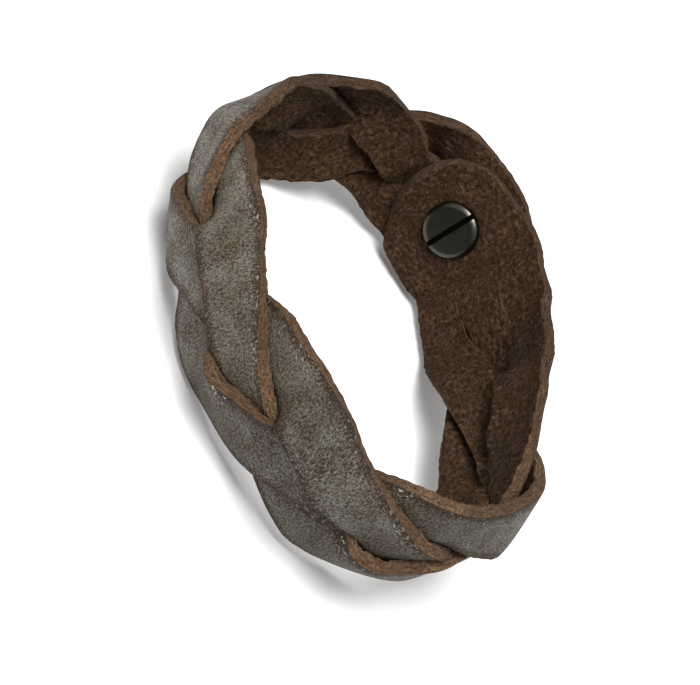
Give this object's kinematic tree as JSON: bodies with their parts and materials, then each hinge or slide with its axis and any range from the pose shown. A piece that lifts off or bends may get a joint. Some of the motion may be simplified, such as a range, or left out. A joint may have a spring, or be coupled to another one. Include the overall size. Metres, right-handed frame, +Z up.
{
  "type": "braided leather cuff bracelet",
  "caption": "Oval leather cuff bracelet of a slit strap braided into flat strands, its rounded ends lapped and held together by a flat-headed slotted screw and post.",
  "frame": {"origin": "on the surface the bracelet lies on, under the middle of its box", "axes": "+Z up along the axis of the wrist opening, X along the loop's longer width, with the screw on the +X, -Y side"},
  "size_m": [0.0854, 0.062, 0.0256],
  "materials": {
    "leather": "matte",
    "screw_metal": "satin"
  },
  "bodies": {
    "root": {"braided_strap": "leather", "slotted_screw": "screw_metal", "screw_post": "screw_metal"}
  },
  "joints": []
}
